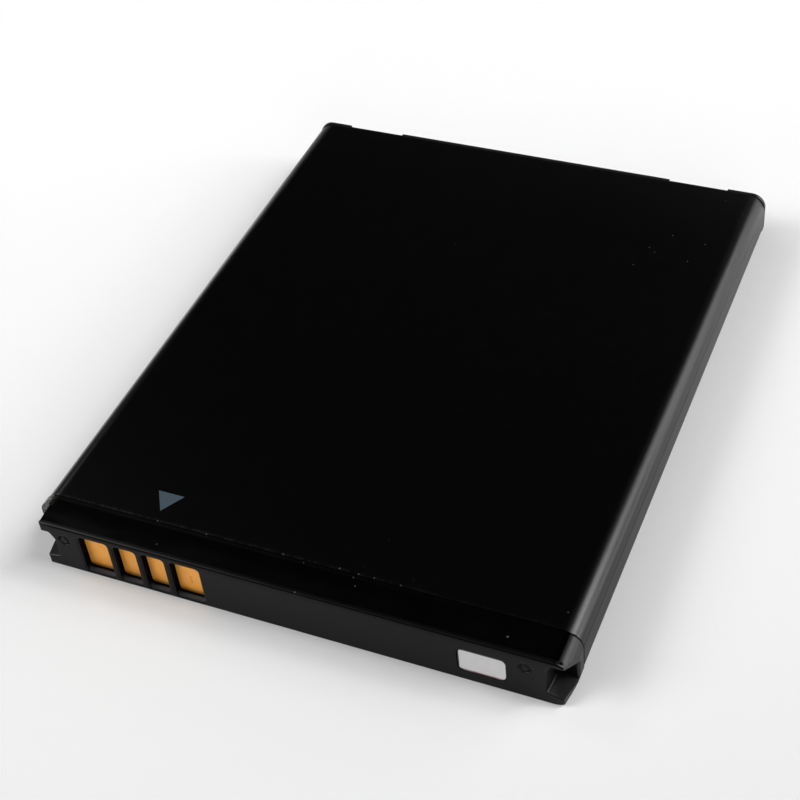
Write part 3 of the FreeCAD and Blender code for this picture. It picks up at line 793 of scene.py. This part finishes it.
def film_tree(settings, material):
    """Sweeps the film's cross-section, which runs along the pack, round the path of the label."""
    tree = Tree("label film")
    tree.size("Film thickness", settings.film)
    tree.size("Front edge", label_low.y)
    tree.size("Rear edge", label_high.y)
    tree.size("Edge round", settings.edge_round)
    tree.count("Edge steps", 3)
    tree.inputs_done()
    length = tree.math("SUBTRACT", tree.given("Rear edge"), tree.given("Front edge"))
    middle = tree.math("DIVIDE", tree.math("ADD", tree.given("Rear edge"), tree.given("Front edge")), 2.0)
    profile = tree.rounded(length, tree.given("Film thickness"), tree.given("Edge steps"), tree.given("Edge round"))
    swept = tree.node("GeometryNodeCurveToMesh", Curve=tree.given("Geometry"), Profile_Curve=profile, Fill_Caps=True)
    placed = tree.node("GeometryNodeTransform", Geometry=swept.outputs[0], Translation=tree.vector(y=middle))
    tree.finish(placed.outputs[0], material)
    return tree


def contact_tree(settings, pads, material):
    """Plates with rounded corners and a softened front edge, one behind each window."""
    tree = Tree("contact pads")
    tree.size("Corner radius", settings.corner)
    tree.size("Edge round", settings.edge_round)
    for number, (low, high) in enumerate(pads, start=1):
        tree.size(f"Pad {number} middle", (low.x + high.x) / 2)
        tree.size(f"Pad {number} width", high.x - low.x)
    low, high = pads[0]
    tree.size("Height", high.z - low.z)
    tree.size("Middle height", (low.z + high.z) / 2)
    tree.size("Front", low.y)
    tree.size("Thickness", high.y - low.y)
    tree.count("Corner steps", 8)
    tree.inputs_done()
    together = tree.add("GeometryNodeJoinGeometry")
    for number in range(1, len(pads) + 1):
        width = tree.given(f"Pad {number} width")
        outline = tree.rounded(width, tree.given("Height"), tree.given("Corner steps"), tree.given("Corner radius"))
        filled = tree.node("GeometryNodeFillCurve", "NGONS", Curve=outline)
        forwards = tree.vector(z=1.0)
        straight = tree.math("SUBTRACT", tree.given("Thickness"), tree.given("Edge round"))
        body = tree.node("GeometryNodeExtrudeMesh", Mesh=filled.outputs[0], Offset=forwards, Offset_Scale=straight,
                         Individual=False)
        rim = tree.node("GeometryNodeExtrudeMesh", Mesh=body.outputs["Mesh"], Selection=body.outputs["Top"],
                        Offset=forwards, Offset_Scale=tree.given("Edge round"), Individual=False)
        cut = tree.math("DIVIDE", tree.math("MULTIPLY", tree.given("Edge round"), 2.0), width)
        narrow = tree.node("GeometryNodeScaleElements", Geometry=rim.outputs["Mesh"], Selection=rim.outputs["Top"],
                           Scale=tree.math("SUBTRACT", 1.0, cut))
        back = tree.node("GeometryNodeFlipFaces", Mesh=filled.outputs[0])
        closed = tree.add("GeometryNodeJoinGeometry")
        for part in (narrow, back):
            tree.join(part.outputs[0], closed.inputs[0])
        rear = tree.math("ADD", tree.given("Front"), tree.given("Thickness"))
        where = tree.vector(tree.given(f"Pad {number} middle"), rear, tree.given("Middle height"))
        placed = tree.node("GeometryNodeTransform", Geometry=closed.outputs[0], Translation=where,
                           Rotation=(math.radians(90), 0.0, 0.0))
        tree.join(placed.outputs[0], together.inputs[0])
    merged = tree.node("GeometryNodeMergeByDistance", Geometry=together.outputs[0], Distance=SAME_CORNER)
    tree.finish(merged.outputs[0], material)
    return tree


# Operators


class PACK_OT_label(bpy.types.Operator):
    """Makes the film label with its softened edges and its joint on the underside"""

    bl_idname = "battery_pack.label"
    bl_label = "Label film"

    def execute(self, context):
        settings = context.scene.pack_label
        piece = film_tree(settings, finish_label(settings)).grow(section_path(settings), "label_film")
        outwards(piece.data)
        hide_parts("label_wrap")
        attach(piece, "root")
        return {"FINISHED"}


class PACK_OT_caps(bpy.types.Operator):
    """Gives both moulded caps their plastic"""

    bl_idname = "battery_pack.caps"
    bl_label = "End caps"

    def execute(self, context):
        plastic = finish_cap(context.scene.pack_caps)
        for name in ("front_cap", "rear_cap"):
            shade(nodes[name], plastic)
        return {"FINISHED"}


class PACK_OT_contacts(bpy.types.Operator):
    """Makes the four plated contacts behind the windows"""

    bl_idname = "battery_pack.contacts"
    bl_label = "Contacts"

    def execute(self, context):
        settings = context.scene.pack_contacts
        pads = [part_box(name) for name in CONTACTS]
        holder = bpy.data.objects.new("contact_source", bpy.data.meshes.new("contact_source"))
        context.scene.collection.objects.link(holder)
        piece = contact_tree(settings, pads, finish_contact(settings)).grow(holder, "contact_pads")
        outwards(piece.data)
        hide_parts(*CONTACTS)
        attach(piece, "root")
        return {"FINISHED"}


class PACK_OT_sticker(bpy.types.Operator):
    """Gives the moisture indicator its paper"""

    bl_idname = "battery_pack.sticker"
    bl_label = "Moisture indicator"

    def execute(self, context):
        shade(nodes["moisture_sticker"], finish_sticker(context.scene.pack_sticker))
        return {"FINISHED"}


class PACK_OT_arrow(bpy.types.Operator):
    """Prints the plain triangle on the label"""

    bl_idname = "battery_pack.arrow"
    bl_label = "Printed triangle"

    def execute(self, context):
        settings = context.scene.pack_arrow
        tip = Vector((settings.x, FRONT + settings.from_front))
        far = tip.y + settings.length
        outline = (tip, Vector((tip.x + settings.width / 2, far)), Vector((tip.x - settings.width / 2, far)))
        work = bmesh.new()
        rings = []
        for height in (TOP, TOP + settings.ink):
            rings.append([work.verts.new((p.x, p.y, height)) for p in outline])
        low, high = rings
        work.faces.new(reversed(low))
        work.faces.new(high)
        for number in range(len(outline)):
            after = (number + 1) % len(outline)
            work.faces.new((low[number], low[after], high[after], high[number]))
        mesh = bpy.data.meshes.new("arrow_print")
        work.to_mesh(mesh)
        work.free()
        piece = bpy.data.objects.new("arrow_print", mesh)
        context.scene.collection.objects.link(piece)
        outwards(mesh)
        shade(piece, finish_ink(settings))
        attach(piece, "root")
        return {"FINISHED"}


class PACK_OT_cell(bpy.types.Operator):
    """Finishes the sealed cell, its terminals and the tapes"""

    bl_idname = "battery_pack.cell"
    bl_label = "Cell and terminals"

    def execute(self, context):
        can = finish_metal("drawn aluminium", (0.72, 0.73, 0.74), 0.3, (1.0, 0.05, 1.0))
        nickel = finish_metal("rolled nickel", (0.62, 0.6, 0.55), 0.25, (0.08, 1.0, 1.0))
        tape = finish_plain("adhesive tape", (0.7, 0.7, 0.67), 0.5)
        for name in ("cell_can", "filling_plug"):
            shade(nodes[name], can)
        for name in ("terminal_rivet", "positive_pad", "negative_tab", "fuse_tab", "positive_tab"):
            shade(nodes[name], nickel)
        for name in ("front_tape", "rear_tape"):
            shade(nodes[name], tape)
        shade(nodes["terminal_gasket"], finish_plain("natural gasket plastic", (0.5, 0.5, 0.46), 0.45))
        shade(nodes["lid_insulator"], finish_plain("insulating sheet", (0.6, 0.55, 0.4), 0.6, 0.2 * MM))
        shade(nodes["thermal_fuse"], finish_plain("fuse moulding", (0.03, 0.03, 0.035), 0.4))
        return {"FINISHED"}


class PACK_OT_board(bpy.types.Operator):
    """Finishes the protection board and what is soldered on it"""

    bl_idname = "battery_pack.board"
    bl_label = "Protection board"

    def execute(self, context):
        epoxy = finish_plain("black epoxy moulding", (0.015, 0.015, 0.016), 0.55, 0.05 * MM)
        shade(nodes["pcm_board"], finish_plain("green solder mask", (0.015, 0.1, 0.045), 0.25, 0.3 * MM))
        for name in ("protection_ic", "mosfet"):
            shade(nodes[name], epoxy)
        chips = finish_chips()
        for name in ("board_resistors", "board_capacitors"):
            shade(nodes[name], chips)
        return {"FINISHED"}


def make_floor(settings):
    """Pale table whose colour gets slowly lighter from the near right to the far left, as a painted light falloff."""
    half = settings.floor_side / 2
    mesh = bpy.data.meshes.new("floor")
    mesh.from_pydata([(-half, -half, 0), (half, -half, 0), (half, half, 0), (-half, half, 0)], [], [(0, 1, 2, 3)])
    floor = bpy.data.objects.new("floor", mesh)
    bpy.context.scene.collection.objects.link(floor)
    paint = Shader("white table")
    x, y, _ = paint.axes()
    along = paint.both(paint.math("SUBTRACT", y, FRONT), TABLE_FALLOFF_WAY[1])
    away = paint.math("ADD", paint.both(x, TABLE_FALLOFF_WAY[0]), along)
    share = paint.node("ShaderNodeMapRange", Value=away, From_Min=TABLE_NEAR, From_Max=TABLE_FAR)
    share = paint.math("POWER", share.outputs["Result"], 0.8)
    colour = paint.blend(share, settings.near_colour, settings.far_colour)
    cloud = paint.both(paint.ramp(paint.noise(30 * MM, 3.0), 0.3, 0.7), 0.01)
    colour = paint.blend(cloud, colour, (0.7, 0.7, 0.7))
    paint.set(Base_Color=colour, Roughness=0.9, Specular_IOR_Level=0.1)
    shade(floor, paint.material)


def make_lamps():
    """Sun lamps with wide discs, which light and mirror like softboxes far away."""
    for name, (azimuth, elevation, width, strength) in LAMPS.items():
        lamp = bpy.data.lights.new(name, "SUN")
        lamp.angle = math.radians(width)
        lamp.energy = strength
        thing = bpy.data.objects.new(name, lamp)
        turn, rise = math.radians(azimuth), math.radians(elevation)
        way = Vector((math.sin(turn) * math.cos(rise), math.cos(turn) * math.cos(rise), math.sin(rise)))
        thing.rotation_mode = "QUATERNION"
        thing.rotation_quaternion = way.to_track_quat("Z", "Y")
        bpy.context.scene.collection.objects.link(thing)


def make_world(settings):
    """Pale surroundings low down that fade to a dark ceiling."""
    world = bpy.data.worlds.new("studio")
    world.use_nodes = True
    sky = Graph(world.node_tree)
    light = sky.add("ShaderNodeBackground")
    sky.join(light.outputs[0], sky.add("ShaderNodeOutputWorld").inputs["Surface"])
    height = sky.split(sky.add("ShaderNodeTexCoord").outputs["Generated"])[2]
    sky.join(sky.ramp(height, 0.03, 0.2, settings.wall_strength, 0.0), light.inputs["Strength"])
    light.inputs["Color"].default_value = (1.0, 1.0, 1.0, 1.0)
    bpy.context.scene.world = world


def make_camera(settings):
    """Camera that looks at its target from the given azimuth, elevation and distance, rolled a little."""
    azimuth, elevation, roll = settings.azimuth, settings.elevation, settings.roll
    back = Vector((
        math.sin(azimuth) * math.cos(elevation),
        -math.cos(azimuth) * math.cos(elevation),
        math.sin(elevation),
    ))
    level = (-back).cross(Vector((0, 0, 1))).normalized()
    down = (-back).cross(level)
    right = math.cos(roll) * level + math.sin(roll) * down
    up = math.sin(roll) * level - math.cos(roll) * down
    lens = bpy.data.cameras.new("camera")
    lens.lens = settings.lens
    lens.clip_start = 1 * MM
    camera = bpy.data.objects.new("camera", lens)
    turn = Matrix((right, up, back)).transposed()
    camera.matrix_world = Matrix.Translation(Vector(settings.target) + back * settings.distance) @ turn.to_4x4()
    bpy.context.scene.collection.objects.link(camera)
    bpy.context.scene.camera = camera


class PACK_OT_stage(bpy.types.Operator):
    """Sets the floor, the lamps, the surroundings and the camera"""

    bl_idname = "battery_pack.stage"
    bl_label = "Stage"

    def execute(self, context):
        settings = context.scene.pack_stage
        make_floor(settings)
        make_lamps()
        make_world(settings)
        make_camera(settings)
        context.scene.view_settings.view_transform = "Standard"
        return {"FINISHED"}


class PACK_PT_panel(bpy.types.Panel):
    """Lists the pack's pieces in the sidebar"""

    bl_label = "Battery pack"
    bl_idname = "PACK_PT_panel"
    bl_space_type = "VIEW_3D"
    bl_region_type = "UI"
    bl_category = "Battery pack"

    def draw(self, context):
        for operator in operators:
            self.layout.operator(operator.bl_idname)
        for name in settings_groups:
            box = self.layout.box()
            group = getattr(context.scene, name)
            for key in group.__annotations__:
                box.prop(group, key)


settings_groups = {
    "pack_label": LabelSettings,
    "pack_caps": CapSettings,
    "pack_contacts": ContactSettings,
    "pack_sticker": StickerSettings,
    "pack_arrow": ArrowSettings,
    "pack_stage": StageSettings,
}
operators = (
    PACK_OT_label,
    PACK_OT_caps,
    PACK_OT_contacts,
    PACK_OT_sticker,
    PACK_OT_arrow,
    PACK_OT_cell,
    PACK_OT_board,
    PACK_OT_stage,
)


def register():
    for group in settings_groups.values():
        bpy.utils.register_class(group)
    for name, group in settings_groups.items():
        setattr(bpy.types.Scene, name, bpy.props.PointerProperty(type=group))
    for kind in (*operators, PACK_PT_panel):
        bpy.utils.register_class(kind)


def unregister():
    for kind in (PACK_PT_panel, *reversed(operators)):
        bpy.utils.unregister_class(kind)
    for name, group in settings_groups.items():
        delattr(bpy.types.Scene, name)
        bpy.utils.unregister_class(group)


def main():
    register()
    for operator in operators:
        getattr(bpy.ops.battery_pack, operator.bl_idname.split(".")[1])()


if __name__ == "__main__":
    main()
